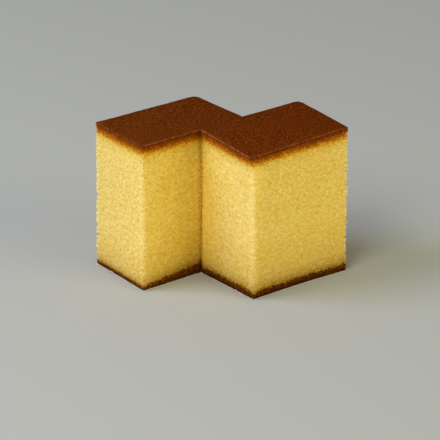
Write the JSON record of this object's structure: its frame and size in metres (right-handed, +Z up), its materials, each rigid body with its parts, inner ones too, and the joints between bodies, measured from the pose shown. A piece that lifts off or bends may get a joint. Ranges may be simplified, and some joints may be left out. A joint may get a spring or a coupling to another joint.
{
  "type": "castella sponge cake",
  "caption": "Tall honey sponge cake with a stepped plan, a thin browned crust on top, a browned base and baking paper under it.",
  "frame": {"origin": "middle of the whole box in plan, on the underside of the paper that the cake stands on", "axes": "+Z up, +X along the longer sides, -Y towards the front half"},
  "size_m": [0.086, 0.0712, 0.0679],
  "materials": {
    "sponge_crumb": "soft moist open crumb, browned at the base",
    "browned_crust": "fine matt leathery grain",
    "baking_paper": "thin off-white paper, browned where it touches the cake"
  },
  "bodies": {
    "root": {"castella": "sponge_crumb", "base_paper": "baking_paper"}
  },
  "joints": []
}
